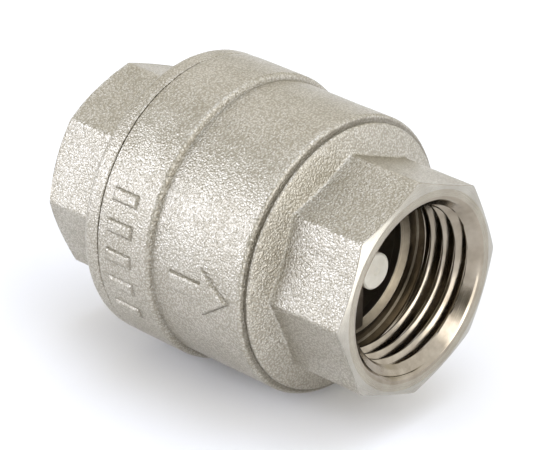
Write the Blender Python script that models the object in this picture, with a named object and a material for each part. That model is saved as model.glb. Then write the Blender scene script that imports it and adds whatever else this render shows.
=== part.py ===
"""In-line spring check valve, nickel-plated brass, G 1/2 female ends, DN 15.

The pipe axis is X. The outlet end looks towards +X, the inlet end towards -X, and +Z is up.
The origin is on the pipe axis, half way between the two end faces. Lengths below are in
millimetres, and MM turns them into metres. A station is a distance from the outlet face,
measured into the valve. An angle is measured about the pipe axis from +Z towards +Y.
"""

from math import atan, ceil, cos, degrees, radians, sin, tau

import bmesh
import bpy

MM = 0.001

# Overall
LENGTH = 47.0
SHELL_SIDES = 40            # facets around the two halves, a multiple of 8 for the wrench corners
CORE_SIDES = 24             # facets around the poppet and its small parts
GAP = 0.3                   # clearance between two pieces that touch

# Wrench octagons, with their corners at the top, the bottom and the sides
WRENCH_FLATS = 25.0
WRENCH_SIDES = 8
ROOT_FILLET = 0.4
OUTLET_FACE_RADIUS = 12.05
OUTLET_CHAMFER_SLOPE = 0.30     # depth of the turned chamfer for each millimetre of radius
INLET_FACE_RADIUS = 11.95
INLET_CHAMFER_SLOPE = 0.577

# Pipe thread, G 1/2
PIPE_PITCH = 1.814
PIPE_MINOR = 9.32
PIPE_MAJOR = 10.48
PIPE_STEPS = 4                  # mesh rings to each turn of thread
PIPE_LEAD = 0.45                # station of the first ring of thread
THREAD_RISE = 6.0               # slope of a flank, in full heights to each turn
MOUTH_RADIUS = 10.9
THREAD_END = 8.1
GROOVE_RADIUS = 10.5
GROOVE_END = 9.2
GROOVE_CORNER = 0.25

# Outlet body
SHOULDER = 10.6                 # at the corners of the octagon
SHOULDER_SLOPE = 0.30           # the outlet shoulder leans back a little
COLLAR_RADIUS = 16.2            # low collar between the shoulder and the casing
COLLAR_FILLET = 0.7
COLLAR_END = 11.9
CASING_START = 12.6
CASING_RADIUS = 16.95
STEP_START = 25.1
STEP_END = 26.4
STEP_SOFTENING = 0.2
BAND_RADIUS = 17.7
BODY_END = 33.55
EDGE_BREAK = 0.2
LIP_FACE = 9.3
LIP_RADIUS = 9.2
LIP_RIM = 10.4                  # outer edge of the lip face, just inside the relief groove
PORT_START = 9.9
PORT_RADIUS = 8.2
PORT_END = 10.9
CHAMBER_START = 14.5
CHAMBER_RADIUS = 14.4

# Guide bridge cast into the outlet body
SPOKES = 3
SPOKE_WIDTH = 2.6
SPOKE_START = 9.5
SPOKE_END = 11.6
SPOKE_REACH = 9.8
HUB_FRONT_RADIUS = 3.4
HUB_BACK_RADIUS = 4.5
HUB_END = 13.3
GUIDE_CLEARANCE = 0.2
SPOKE_OVERLAP = 0.5             # how far a spoke starts inside the hub

# Screwed joint between the two halves
JOINT_PITCH = 1.5
JOINT_MINOR = 15.0
JOINT_MAJOR = 15.8
JOINT_STEPS = 4
JOINT_START = 26.0
JOINT_TURNS = 3
JOINT_LEAD = 0.4                # plain length before and after the thread
JOINT_CHAMFER = 0.3
NECK_RADIUS = 14.3
SEAL_POCKET_START = 31.9
SEAL_POCKET_RADIUS = 16.3
O_RING_SECTION = 0.7

# Inlet connector
FLANGE_RADIUS = 17.65
FLANGE_FILLET = 1.1
FLANGE_BACK = 36.3
SPIGOT_BORE = 13.0
SPIGOT_FLOOR = 32.0
SEAT_FACE = 30.5
SEAT_INNER = 7.9
SEAT_OUTER = 9.0
SEAT_SLOPE = 0.6

# Poppet, sealing ring, retainer and screw
STEM_TIP = 6.5
STEM_RADIUS = 2.2
TIP_RINGS = ((0.0, 1.3), (0.22, 1.9), (0.6, STEM_RADIUS))   # rounding of the stem tip
BOSS_START = 18.6
BOSS_RADIUS = 3.0
DISC_FRONT = 26.3
DISC_RADIUS = 10.4
DISC_RIM_END = 29.3
DISC_CHAMFER = 0.4
CUP_DEPTH = 1.0
BORE_END = 26.8
SEAL_THICKNESS = 1.6
SEAL_RADIUS = 9.6
PIN_RADIUS = 2.6
SCREW_BORE = 1.8
RETAINER_RADIUS = 5.6
RETAINER_THICKNESS = 0.8
SCREW_RADIUS = 1.5
SCREW_CHAMFER = 0.3
HEAD_RADIUS = 2.8
HEAD_HEIGHT = 1.4
SLOT_WIDTH = 0.8
SLOT_DEPTH = 0.7

# Return spring
SPRING_RADIUS = 3.95
SPRING_WIRE = 0.35
SPRING_TURNS = 6.5
SPRING_STEPS = 12               # points to each turn
CLOSED_TURNS = 0.75             # turns at each end that lie almost flat
CLOSED_RISE = 0.6               # rise of such a turn, in wire diameters

# Raised marks: flow arrows on the casing and plain bars on the band, on both sides
MARK_HEIGHT = 0.3
ARROW_TAIL = 22.6
ARROW_NECK = 17.8
ARROW_TIP = 13.6
ARROW_SHAFT = 1.1
ARROW_HEAD = 3.0
BAR_START = 28.3
BAR_END = 32.1
BAR_WIDTH = 1.5
BAR_PITCH = 12.0                # degrees between two bars
BARS = 5
SIDE_ANGLES = (90.0, 270.0)


def place(station, radius, angle):
    """The point at a station, a radius and an angle, in metres."""
    x = LENGTH / 2 - station
    return (x * MM, radius * sin(angle) * MM, radius * cos(angle) * MM)


def octagon_radius(angle):
    """Distance from the axis to the wrench octagon at an angle."""
    side = tau / WRENCH_SIDES
    return WRENCH_FLATS / 2 / cos(angle % side - side / 2)


def thread_radius(station, angle, pitch, minor, major):
    """Radius of a right-hand thread form with flat crests and roots."""
    phase = (station / pitch - angle / tau) % 1.0
    height = THREAD_RISE * (1 / 3 - abs(phase - 0.5))
    return minor + (major - minor) * min(1.0, max(0.0, height))


def pipe_bore_radius(station, angle):
    """Radius of the female pipe thread, opened out by the chamfer at its mouth."""
    threaded = thread_radius(station, angle, PIPE_PITCH, PIPE_MINOR, PIPE_MAJOR)
    return max(MOUTH_RADIUS - station, threaded)


def steps(first, last, spacing):
    """Evenly spaced values from first to last, no further apart than spacing."""
    count = ceil(abs(last - first) / spacing)
    return [first + (last - first) * i / count for i in range(count + 1)]


def rounding(centre_station, centre_radius, size, first, last, pieces=3):
    """Points on an arc in the station and radius plane, between two angles in degrees."""
    turns = [radians(first + (last - first) * i / pieces) for i in range(pieces + 1)]
    return [(centre_station - size * cos(t), centre_radius + size * sin(t)) for t in turns]


def material(name, color, roughness, metallic):
    """A Principled material."""
    made = bpy.data.materials.new(name)
    made.use_nodes = True
    shader = made.node_tree.nodes["Principled BSDF"]
    shader.inputs["Base Color"].default_value = (*color, 1.0)
    shader.inputs["Roughness"].default_value = roughness
    shader.inputs["Metallic"].default_value = metallic
    return made


def finish_object(name, mesh_data, surface):
    """Turn a bmesh into a named object with outward faces and one material."""
    bmesh.ops.recalc_face_normals(mesh_data, faces=mesh_data.faces)
    mesh = bpy.data.meshes.new(name)
    mesh_data.to_mesh(mesh)
    mesh_data.free()
    mesh.shade_smooth()
    mesh.set_sharp_from_angle(angle=radians(32))
    mesh.materials.append(surface)
    made = bpy.data.objects.new(name, mesh)
    bpy.context.scene.collection.objects.link(made)
    return made


def ring_of(mesh_data, section, sides):
    """One ring of vertices. A section is (station, radius) or a function of the angle giving it."""
    ring = []
    for i in range(sides):
        angle = tau * i / sides
        station, radius = section(angle) if callable(section) else section
        ring.append(mesh_data.verts.new(place(station, radius, angle)))
    return ring


def join_rings(mesh_data, first, second):
    """Quads between two rings of the same size."""
    count = len(first)
    for i in range(count):
        j = (i + 1) % count
        mesh_data.faces.new((first[i], first[j], second[j], second[i]))


def turned_ring(name, sections, surface, sides):
    """A closed tube: the sections run all the way round the wall."""
    mesh_data = bmesh.new()
    rings = [ring_of(mesh_data, section, sides) for section in sections]
    for first, second in zip(rings, rings[1:] + rings[:1]):
        join_rings(mesh_data, first, second)
    return finish_object(name, mesh_data, surface)


def turned_solid(name, sections, surface, sides):
    """A solid whose first and last sections are closed by flat caps."""
    mesh_data = bmesh.new()
    rings = [ring_of(mesh_data, section, sides) for section in sections]
    for first, second in zip(rings, rings[1:]):
        join_rings(mesh_data, first, second)
    mesh_data.faces.new(rings[0])
    mesh_data.faces.new(list(reversed(rings[-1])))
    return finish_object(name, mesh_data, surface)


def hide_tool(tool):
    """Mark an object as a Boolean tool, which is not a piece of the valve."""
    tool.hide_render = True
    tool.display_type = "WIRE"


def combine(target, tool, operation):
    """Add an exact Boolean of a tool to a target."""
    hide_tool(tool)
    modifier = target.modifiers.new(tool.name, "BOOLEAN")
    modifier.operation = operation
    modifier.solver = "EXACT"
    modifier.object = tool


def from_inlet(section):
    """A section of the socket profile, mirrored to the inlet end."""
    def mirrored(angle):
        station, radius = section(angle) if callable(section) else section
        return (LENGTH - station, radius)
    return mirrored


def socket_sections():
    """Bore of a pipe socket, from its relief groove out to the mouth."""
    thread = [
        lambda angle, s=station: (s, pipe_bore_radius(s, angle))
        for station in steps(THREAD_END, PIPE_LEAD, PIPE_PITCH / PIPE_STEPS)
    ]
    groove = [(GROOVE_END, GROOVE_RADIUS), (THREAD_END + GROOVE_CORNER, GROOVE_RADIUS)]
    return groove + thread + [(0.0, MOUTH_RADIUS)]


def wrench_sections(face_radius, slope, root, shoulder_slope):
    """Octagonal wrench end, from its end face to the root fillet that starts the shoulder."""
    corner = octagon_radius(0.0)

    def chamfer(angle):
        radius = octagon_radius(angle)
        return ((radius - face_radius) * slope, radius)

    def fillet(turn):
        def section(angle):
            radius = octagon_radius(angle)
            foot = root + shoulder_slope * (radius + ROOT_FILLET - corner)
            station = foot - ROOT_FILLET * (1 - sin(turn))
            return (station, radius + ROOT_FILLET * (1 - cos(turn)))
        return section

    turns = [radians(45.0 * i) for i in range(3)]
    return [(0.0, face_radius), chamfer] + [fillet(turn) for turn in turns]


def joint_thread_sections(clearance):
    """Thread of the screwed joint, from its inner end outwards."""
    first = JOINT_START + JOINT_LEAD
    last = first + JOINT_TURNS * JOINT_PITCH
    return [
        lambda angle, s=station: (
            s, clearance + thread_radius(s, angle, JOINT_PITCH, JOINT_MINOR, JOINT_MAJOR))
        for station in steps(first, last, JOINT_PITCH / JOINT_STEPS)
    ]


def outlet_shell_sections():
    """Wall of the outlet body: down the outside, across the joint face and back up the bore."""
    outside = wrench_sections(OUTLET_FACE_RADIUS, OUTLET_CHAMFER_SLOPE, SHOULDER, SHOULDER_SLOPE)
    lean = atan(SHOULDER_SLOPE)
    inner = COLLAR_RADIUS - COLLAR_FILLET
    foot = SHOULDER + SHOULDER_SLOPE * (inner - octagon_radius(0.0))
    outside += rounding(foot + COLLAR_FILLET / cos(lean), inner, COLLAR_FILLET, degrees(lean), 90.0)
    collar_drop = CASING_RADIUS - COLLAR_RADIUS
    middle = (STEP_START + STEP_END) / 2
    outside += [
        (COLLAR_END + EDGE_BREAK, COLLAR_RADIUS + collar_drop / 2),
        (CASING_START, CASING_RADIUS),
        (STEP_START, CASING_RADIUS),
        (middle - STEP_SOFTENING, CASING_RADIUS + STEP_SOFTENING),
        (middle + STEP_SOFTENING, BAND_RADIUS - STEP_SOFTENING),
        (STEP_END, BAND_RADIUS),
        (BODY_END - EDGE_BREAK, BAND_RADIUS),
        (BODY_END, BAND_RADIUS - EDGE_BREAK),
    ]
    joint = [(BODY_END, SEAL_POCKET_RADIUS), (SEAL_POCKET_START, SEAL_POCKET_RADIUS)]
    joint += reversed(joint_thread_sections(GAP))
    joint += [(JOINT_START - GAP, JOINT_MAJOR + GAP), (JOINT_START - GAP, CHAMBER_RADIUS)]
    port = [
        (CHAMBER_START, CHAMBER_RADIUS),
        (PORT_END, PORT_RADIUS),
        (PORT_START, PORT_RADIUS),
        (LIP_FACE, LIP_RADIUS),
        (LIP_FACE, LIP_RIM),
    ]
    return outside + joint + port + socket_sections()


def spoke(number, surface):
    """One arm of the guide bridge, as a bar from the hub into the wall of the port."""
    angle = radians(180.0 + 360.0 * number / SPOKES)
    inner = STEM_RADIUS + GUIDE_CLEARANCE + SPOKE_OVERLAP
    mesh_data = bmesh.new()
    bmesh.ops.create_cube(mesh_data, size=1.0)
    for vert in mesh_data.verts:
        station = SPOKE_START if vert.co.x > 0 else SPOKE_END
        across = vert.co.y * SPOKE_WIDTH
        out = SPOKE_REACH if vert.co.z > 0 else inner
        y = out * sin(angle) + across * cos(angle)
        z = out * cos(angle) - across * sin(angle)
        vert.co = ((LENGTH / 2 - station) * MM, y * MM, z * MM)
    return finish_object(f"bridge_spoke_{number}", mesh_data, surface)


def raised_shape(name, corners, faces, angle, base_radius, surface):
    """A raised mark on a round wall. Corners are (station, distance along the wall)."""
    mesh_data = bmesh.new()
    layers = []
    for radius in (base_radius - MARK_HEIGHT * 2, base_radius + MARK_HEIGHT):
        layers.append([
            mesh_data.verts.new(place(station, radius, angle + along / base_radius))
            for station, along in corners
        ])
    lower, upper = layers
    for face in faces:
        mesh_data.faces.new([upper[i] for i in face])
        mesh_data.faces.new([lower[i] for i in reversed(face)])
    border = list(range(len(corners) - 1))
    for i, j in zip(border, border[1:] + border[:1]):
        mesh_data.faces.new((lower[i], lower[j], upper[j], upper[i]))
    return finish_object(name, mesh_data, surface)


def flow_arrow(angle, surface):
    """An arrow along the casing, pointing to the outlet. Its last corner is on the centre line."""
    corners = [
        (ARROW_TAIL, -ARROW_SHAFT), (ARROW_NECK, -ARROW_SHAFT), (ARROW_NECK, -ARROW_HEAD),
        (ARROW_TIP, 0.0),
        (ARROW_NECK, ARROW_HEAD), (ARROW_NECK, ARROW_SHAFT), (ARROW_TAIL, ARROW_SHAFT),
        (ARROW_TAIL, 0.0),
        (ARROW_NECK, 0.0),
    ]
    faces = [(7, 0, 1, 8), (8, 5, 6, 7), (1, 2, 3), (1, 3, 8), (8, 3, 5), (5, 3, 4)]
    name = f"flow_arrow_{round(angle)}"
    return raised_shape(name, corners, faces, radians(angle), CASING_RADIUS, surface)


def band_bar(angle, surface):
    """A short raised bar along the band. Its last corner is in the middle."""
    half = BAR_WIDTH / 2
    corners = [
        (BAR_START, -half), (BAR_END, -half), (BAR_END, half), (BAR_START, half),
        ((BAR_START + BAR_END) / 2, 0.0),
    ]
    faces = [(0, 1, 4), (1, 2, 4), (2, 3, 4), (3, 0, 4)]
    name = f"band_bar_{round(angle)}"
    return raised_shape(name, corners, faces, radians(angle), BAND_RADIUS, surface)


def make_outlet_body(surface):
    """The long half: wrench end, casing, band, outlet socket and guide bridge."""
    body = turned_ring("outlet_body", outlet_shell_sections(), surface, SHELL_SIDES)
    bore = STEM_RADIUS + GUIDE_CLEARANCE
    hub_sections = [
        (LIP_FACE, bore), (LIP_FACE, HUB_FRONT_RADIUS), (HUB_END, HUB_BACK_RADIUS), (HUB_END, bore),
    ]
    combine(body, turned_ring("bridge_hub", hub_sections, surface, CORE_SIDES), "UNION")
    for number in range(SPOKES):
        combine(body, spoke(number, surface), "UNION")
    for angle in SIDE_ANGLES:
        combine(body, flow_arrow(angle, surface), "UNION")
        for i in range(BARS):
            offset = (i - (BARS - 1) / 2) * BAR_PITCH
            combine(body, band_bar(angle + offset, surface), "UNION")
    return body


def make_inlet_connector(surface):
    """The short half: flange, wrench end, inlet socket, male thread and valve seat."""
    outer_face = BODY_END + GAP
    wrench = wrench_sections(INLET_FACE_RADIUS, INLET_CHAMFER_SLOPE, LENGTH - FLANGE_BACK, 0.0)
    sections = [from_inlet(section) for section in wrench]
    sections += reversed(rounding(
        FLANGE_BACK - FLANGE_FILLET, FLANGE_RADIUS - FLANGE_FILLET, FLANGE_FILLET, 90.0, 180.0))
    sections += [
        (outer_face + EDGE_BREAK, FLANGE_RADIUS),
        (outer_face, FLANGE_RADIUS - EDGE_BREAK),
        (outer_face, NECK_RADIUS),
        (JOINT_START + 2 * JOINT_LEAD + JOINT_TURNS * JOINT_PITCH, NECK_RADIUS),
    ]
    sections += reversed(joint_thread_sections(0.0))
    sections += [
        (JOINT_START, JOINT_MINOR - JOINT_CHAMFER),
        (JOINT_START, SPIGOT_BORE),
        (SPIGOT_FLOOR, SPIGOT_BORE),
        (SPIGOT_FLOOR, SEAT_OUTER + SEAT_SLOPE),
        (SEAT_FACE, SEAT_OUTER),
        (SEAT_FACE, SEAT_INNER),
        (LENGTH - PORT_START, SEAT_INNER),
        (LENGTH - LIP_FACE, LIP_RADIUS),
        (LENGTH - LIP_FACE, LIP_RIM),
    ]
    sections += [from_inlet(section) for section in socket_sections()]
    return turned_ring("inlet_connector", sections, surface, SHELL_SIDES)


def make_joint_o_ring(surface):
    """Rubber ring in the pocket between the two halves."""
    centre = (SEAL_POCKET_START + BODY_END + GAP) / 2
    radius = NECK_RADIUS + GAP + O_RING_SECTION
    turns = [tau * i / 6 for i in range(6)]
    sections = [(centre + O_RING_SECTION * cos(t), radius + O_RING_SECTION * sin(t)) for t in turns]
    return turned_ring("joint_o_ring", sections, surface, SHELL_SIDES)


def make_poppet(surface):
    """Disc and stem in one piece, with a cup for the sealing ring and a pin with a screw hole."""
    cup_floor = DISC_RIM_END - CUP_DEPTH
    pin_end = cup_floor + GAP + SEAL_THICKNESS
    sections = [(STEM_TIP + station, radius) for station, radius in TIP_RINGS]
    sections += [
        (BOSS_START, STEM_RADIUS),
        (BOSS_START, BOSS_RADIUS - EDGE_BREAK),
        (BOSS_START + EDGE_BREAK, BOSS_RADIUS),
        (DISC_FRONT, BOSS_RADIUS),
        (DISC_FRONT, DISC_RADIUS - DISC_CHAMFER),
        (DISC_FRONT + DISC_CHAMFER, DISC_RADIUS),
        (DISC_RIM_END, DISC_RADIUS),
        (DISC_RIM_END, SEAL_RADIUS + GAP),
        (cup_floor, SEAL_RADIUS + GAP),
        (cup_floor, PIN_RADIUS),
        (pin_end, PIN_RADIUS),
        (pin_end, SCREW_BORE),
        (BORE_END, SCREW_BORE),
    ]
    return turned_solid("poppet", sections, surface, CORE_SIDES)


def make_poppet_seal(surface):
    """Flat rubber ring that closes on the seat."""
    back = SEAT_FACE - GAP
    front = back - SEAL_THICKNESS
    inner = PIN_RADIUS + GAP
    sections = [
        (front, inner), (front, SEAL_RADIUS), (back - EDGE_BREAK, SEAL_RADIUS),
        (back, SEAL_RADIUS - EDGE_BREAK), (back, inner),
    ]
    return turned_ring("poppet_seal", sections, surface, CORE_SIDES)


def make_seal_retainer(surface):
    """Washer that clamps the sealing ring."""
    front = SEAT_FACE
    back = front + RETAINER_THICKNESS
    sections = [
        (front, SCREW_BORE), (front, RETAINER_RADIUS), (back - EDGE_BREAK, RETAINER_RADIUS),
        (back, RETAINER_RADIUS - EDGE_BREAK), (back, SCREW_BORE),
    ]
    return turned_ring("seal_retainer", sections, surface, CORE_SIDES)


def make_retainer_screw(surface):
    """Slotted cheese-head screw through the retainer into the poppet."""
    under_head = SEAT_FACE + RETAINER_THICKNESS + GAP
    top = under_head + HEAD_HEIGHT
    tip = BORE_END + GAP
    sections = [
        (tip, SCREW_RADIUS - SCREW_CHAMFER), (tip + SCREW_CHAMFER, SCREW_RADIUS),
        (under_head, SCREW_RADIUS), (under_head, HEAD_RADIUS),
        (top - SCREW_CHAMFER, HEAD_RADIUS), (top, HEAD_RADIUS - SCREW_CHAMFER),
    ]
    screw = turned_solid("retainer_screw", sections, surface, CORE_SIDES)
    mesh_data = bmesh.new()
    bmesh.ops.create_cube(mesh_data, size=1.0)
    for vert in mesh_data.verts:
        station = top + (SLOT_DEPTH if vert.co.x < 0 else -SLOT_DEPTH)
        y = vert.co.y * SLOT_WIDTH
        z = vert.co.z * HEAD_RADIUS * 3
        vert.co = ((LENGTH / 2 - station) * MM, y * MM, z * MM)
    combine(screw, finish_object("screw_slot", mesh_data, surface), "DIFFERENCE")
    return screw


def make_return_spring(surface):
    """Compression spring between the bridge hub and the poppet disc, with closed ends."""
    start = HUB_END + GAP + SPRING_WIRE
    end = DISC_FRONT - GAP - SPRING_WIRE
    total = round(SPRING_TURNS * SPRING_STEPS)
    closed = CLOSED_TURNS / SPRING_TURNS    # share of the wire in each closed end
    closed_rise = CLOSED_RISE * SPRING_WIRE * 2
    curve = bpy.data.curves.new("return_spring", "CURVE")
    curve.dimensions = "3D"
    curve.bevel_depth = SPRING_WIRE * MM
    curve.bevel_resolution = 1
    curve.use_fill_caps = True
    spline = curve.splines.new("POLY")
    spline.points.add(total)
    free = end - start - 2 * closed_rise
    for i, point in enumerate(spline.points):
        share = i / total
        if share < closed:
            rise = closed_rise * share / closed
        elif share > 1 - closed:
            rise = end - start - closed_rise * (1 - share) / closed
        else:
            rise = closed_rise + free * (share - closed) / (1 - 2 * closed)
        point.co = (*place(start + rise, SPRING_RADIUS, tau * SPRING_TURNS * share), 1.0)
    curve.materials.append(surface)
    made = bpy.data.objects.new("return_spring", curve)
    bpy.context.scene.collection.objects.link(made)
    return made


def build():
    """Clear the scene and make every piece."""
    for old in list(bpy.data.objects):
        bpy.data.objects.remove(old)
    nickel = material("nickel_plated_brass", (0.60, 0.57, 0.52), 0.38, 1.0)
    plastic = material("white_acetal", (0.78, 0.74, 0.66), 0.35, 0.0)
    rubber = material("black_nitrile", (0.02, 0.02, 0.02), 0.60, 0.0)
    steel = material("stainless_steel", (0.58, 0.58, 0.58), 0.28, 1.0)
    moving = bpy.data.objects.new("poppet_axis", None)
    bpy.context.scene.collection.objects.link(moving)
    make_outlet_body(nickel)
    make_inlet_connector(nickel)
    make_joint_o_ring(rubber)
    make_return_spring(steel)
    for piece in (make_poppet(plastic), make_poppet_seal(rubber),
                  make_seal_retainer(steel), make_retainer_screw(steel)):
        piece.parent = moving


build()
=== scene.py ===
"""Looks of the in-line spring check valve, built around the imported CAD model.

The pipe axis is X, the outlet end looks towards +X and +Z is up. As in the CAD model, a station
is a distance in millimetres from the outlet face into the valve, and an angle is measured about
the pipe axis from +Z towards +Y. Profiles are given in millimetres and placed in metres.
"""

from math import cos, pi, radians, sin, tau

import bmesh
import bpy
import numpy as np
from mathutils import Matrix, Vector, noise


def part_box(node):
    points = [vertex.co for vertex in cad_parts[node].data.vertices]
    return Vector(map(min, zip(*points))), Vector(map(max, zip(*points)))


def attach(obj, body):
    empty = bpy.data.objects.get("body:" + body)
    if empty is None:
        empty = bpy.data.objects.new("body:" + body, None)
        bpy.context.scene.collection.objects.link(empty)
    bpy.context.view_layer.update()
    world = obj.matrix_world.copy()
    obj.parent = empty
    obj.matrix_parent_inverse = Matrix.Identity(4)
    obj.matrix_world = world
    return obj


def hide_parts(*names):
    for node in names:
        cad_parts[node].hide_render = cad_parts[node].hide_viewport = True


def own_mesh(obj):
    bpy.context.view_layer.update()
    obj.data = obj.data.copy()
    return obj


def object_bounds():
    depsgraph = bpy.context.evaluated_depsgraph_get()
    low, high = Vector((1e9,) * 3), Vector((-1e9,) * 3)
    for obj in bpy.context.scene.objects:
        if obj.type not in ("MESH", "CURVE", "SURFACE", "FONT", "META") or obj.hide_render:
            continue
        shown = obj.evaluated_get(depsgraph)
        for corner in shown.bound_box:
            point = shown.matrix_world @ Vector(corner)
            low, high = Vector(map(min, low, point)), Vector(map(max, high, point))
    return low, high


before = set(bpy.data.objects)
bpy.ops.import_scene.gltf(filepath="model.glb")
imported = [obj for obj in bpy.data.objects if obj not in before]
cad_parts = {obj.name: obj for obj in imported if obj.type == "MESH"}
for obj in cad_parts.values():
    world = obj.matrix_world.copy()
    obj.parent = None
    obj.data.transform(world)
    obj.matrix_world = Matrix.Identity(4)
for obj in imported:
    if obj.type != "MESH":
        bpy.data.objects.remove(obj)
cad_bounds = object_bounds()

MM = 0.001
OUTLET_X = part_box("outlet_body")[1][0] / MM
INLET_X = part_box("inlet_connector")[0][0] / MM
LENGTH = OUTLET_X - INLET_X

# Wrench ends
WRENCH_FLATS = 25.0
WRENCH_EDGE = 0.85              # rounding of the eight long edges
FACE_EDGE = 0.05                # rounding of the inner edge of the chamfer
CHAMFER_EDGE = 0.10             # rounding of its outer edge
CORNER_RADIUS = WRENCH_FLATS / 2 / cos(pi / 8)
ROOT_FILLET = 0.4
OUTLET_FACE_RADIUS = 12.05
OUTLET_CHAMFER_SLOPE = 0.30
INLET_FACE_RADIUS = 11.95
INLET_CHAMFER_SLOPE = 0.577
CHAMFER_SECTION = 4             # first mesh ring of the chamfer
FACE_SECTIONS = 8               # mesh rings on the turned end face and its chamfer

# Pipe thread, G 1/2
PIPE_PITCH = 1.814
PIPE_MIDDLE = 9.9
PIPE_DEPTH = 1.162
PIPE_SPACING = 0.065            # between two mesh rings of the thread
PIPE_LEAD = 0.32                # station of the first ring of thread
PIPE_FADE = 0.4                 # length over which the thread runs out into the groove
THREAD_START = 0.24             # share of a turn by which the crests are ahead
THREAD_ROUNDING = 0.16          # share of a flank that is rounded at a crest or a root
MOUTH_RADIUS = 10.9
MOUTH_BEVEL = 0.3
THREAD_END = 8.1
GROOVE_RADIUS = 10.5
GROOVE_END = 9.2
LIP_RIM = GROOVE_RADIUS - 0.2   # outer edge of the lip face

# Outlet body
SHOULDER = 10.6                 # at the corners of the octagon
SHOULDER_SLOPE = 0.30
COLLAR_RADIUS = 16.2
COLLAR_FILLET = 1.0
COLLAR_END = 11.9
CASING_RADIUS = 16.95
STEP_START = 25.1
BAND_RADIUS = 17.7
BODY_END = 33.62
LIP_FACE = 9.3
LIP_RADIUS = 9.2
PORT_START = 9.9
PORT_RADIUS = 8.2
PORT_END = 10.9
CHAMBER_START = 14.5
CHAMBER_RADIUS = 14.4

# Guide bridge
SPOKES = 3
SPOKE_WIDTH = 2.6
SPOKE_START = 9.5
SPOKE_END = 11.6
SPOKE_REACH = 9.6
HUB_FRONT_RADIUS = 3.4
HUB_BACK_RADIUS = 4.5
HUB_END = 13.3
HUB_BORE = 2.4

# Screwed joint between the halves
JOINT_PITCH = 1.5
JOINT_MINOR = 15.0
JOINT_MAJOR = 15.8
JOINT_DEPTH = 0.8
JOINT_START = 26.0
JOINT_END = 30.9
JOINT_CLEARANCE = 0.3
JOINT_SPACING = 0.12
JOINT_LEAD = 0.4
NECK_RADIUS = 14.3
SEAL_POCKET_START = 31.9
SEAL_POCKET_RADIUS = 16.3
O_RING_SECTION = 0.7

# Inlet connector
FLANGE_FACE = 33.77
FLANGE_RADIUS = 17.65
FLANGE_FILLET = 1.1
FLANGE_BACK = 36.3
SPIGOT_BORE = 13.0
SPIGOT_FLOOR = 32.0
SEAT_FACE = 30.5
SEAT_INNER = 7.9
SEAT_OUTER = 9.0

# Poppet, sealing ring, washer and screw
STEM_RADIUS = 2.2
BOSS_START = 18.6
BOSS_RADIUS = 3.0
DISC_FRONT = 26.3
DISC_RIM_END = 29.3
CUP_RADIUS = 9.9
CUP_FLOOR = 28.3
PIN_RADIUS = 2.6
PIN_END = 30.2
SCREW_BORE = 1.8
BORE_END = 26.8
SEAL_FRONT = 28.6
SEAL_BACK = 30.2
SEAL_HOLE = 2.9
SEAL_RADIUS = 9.6
WASHER_FRONT = 30.5
WASHER_BACK = 31.3
WASHER_RADIUS = 5.6
SCREW_TIP = 27.1
SCREW_PITCH = 0.5
SCREW_MIDDLE = 1.35
SCREW_OUTER = 1.5
UNDER_HEAD = 31.6
HEAD_TOP = 33.0
HEAD_RADIUS = 2.8
SLOT_WIDTH = 0.8
SLOT_DEPTH = 0.7

# Return spring
SPRING_WIRE = 0.35
SPRING_RADIUS = 3.95
SPRING_TURNS = 6.5
CLOSED_TURNS = 0.75             # turns at each end that lie almost flat
CLOSED_RISE = 0.8 * SPRING_WIRE * 2 * CLOSED_TURNS

# Raised marks
MARK_HEIGHT = 0.3
ARROW_HEIGHT = 0.4
MARK_CROWN = 0.4                # width over which an edge of a mark is rounded
MARK_FOOT_SHADE = 0.5                 # strength of the painted shade line at its foot
PAD_SPACING = 0.085             # between two vertices of the pad under the marks
PAD_SKIRT = 0.9                 # border over which the pad sinks into the wall
PAD_LIFT = 0.006
PAD_SINK = 0.014
PAD_DEPTH = 0.25
ARROW_TAIL = 22.6
ARROW_NECK = 17.8
ARROW_TIP = 13.6
ARROW_SHAFT = 1.1
ARROW_HEAD = 3.0
BAR_START = 28.3
BAR_END = 32.1
BAR_WIDTH = 1.5
BAR_PITCH = 12.0
BARS = 5

# Photographer's camera: 192 mm lens, 0.33 m from the outlet face
CAMERA_AT = (0.2064, -0.2207, 0.1623)
CAMERA_AZIMUTH = 42.9
CAMERA_ELEVATION = 28.27
CAMERA_LENS = 192.3

# Reflecting card in front of the outlet: the socket face picks it up
CARD_AT = (0.080, 0.0, -0.008)
CARD_FROM = (0.056, 0.011, -0.010)      # direction from the socket face to the card
CARD_SIZE = 0.045
CARD_RADIANCE = 2.0

# Soft light from all round, and the pale wall behind the floor
ROOM_TONE = (0.82, 0.79, 0.67, 1.0)
WALL_TONE = (1.0, 1.0, 1.0, 1.0)
WALL_TOP = (0.08, 0.20)                 # sine of the elevations between which the wall fades out

# Soft patches of the studio: direction, inner and outer angle in degrees, and radiance
SOFT_PATCHES = (
    ((0.85, 0.35, 0.35), 30.0, 58.0, (1.45, 1.47, 1.50)),
    ((-0.60, -0.67, 0.43), 17.0, 28.0, (4.2, 4.4, 5.1)),
    ((0.90, -0.15, 0.40), 10.0, 22.0, (3.6, 3.6, 3.6)),
    ((-0.62, 0.48, 0.65), 12.0, 30.0, (1.35, 1.33, 1.32)),
    ((-0.60, -0.36, 0.70), 8.0, 20.0, (0.36, 0.355, 0.33)),
    ((0.65, -0.66, 0.38), 12.0, 28.0, (0.06, 0.056, 0.045)),
    ((0.1, 0.1, 1.0), 12.0, 26.0, (2.4, 2.6, 3.1)),
)


# ---------------------------------------------------------------- shapes


def corner_angles(spacing=1.5):
    """Angles around the axis, closer together near the eight wrench corners."""
    near = [0.0, 0.25, 0.5, 0.8, 1.2, 1.8, 2.6, 3.6, 4.8]
    half = near + list(np.arange(6.0, 22.5 + 0.01, spacing))
    sector = half + [45.0 - a for a in reversed(half[1:-1])]
    return np.radians([45.0 * k + a for k in range(8) for a in sector])


def even_angles(count):
    """Evenly spaced angles around the axis."""
    return np.arange(count) * tau / count


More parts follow.
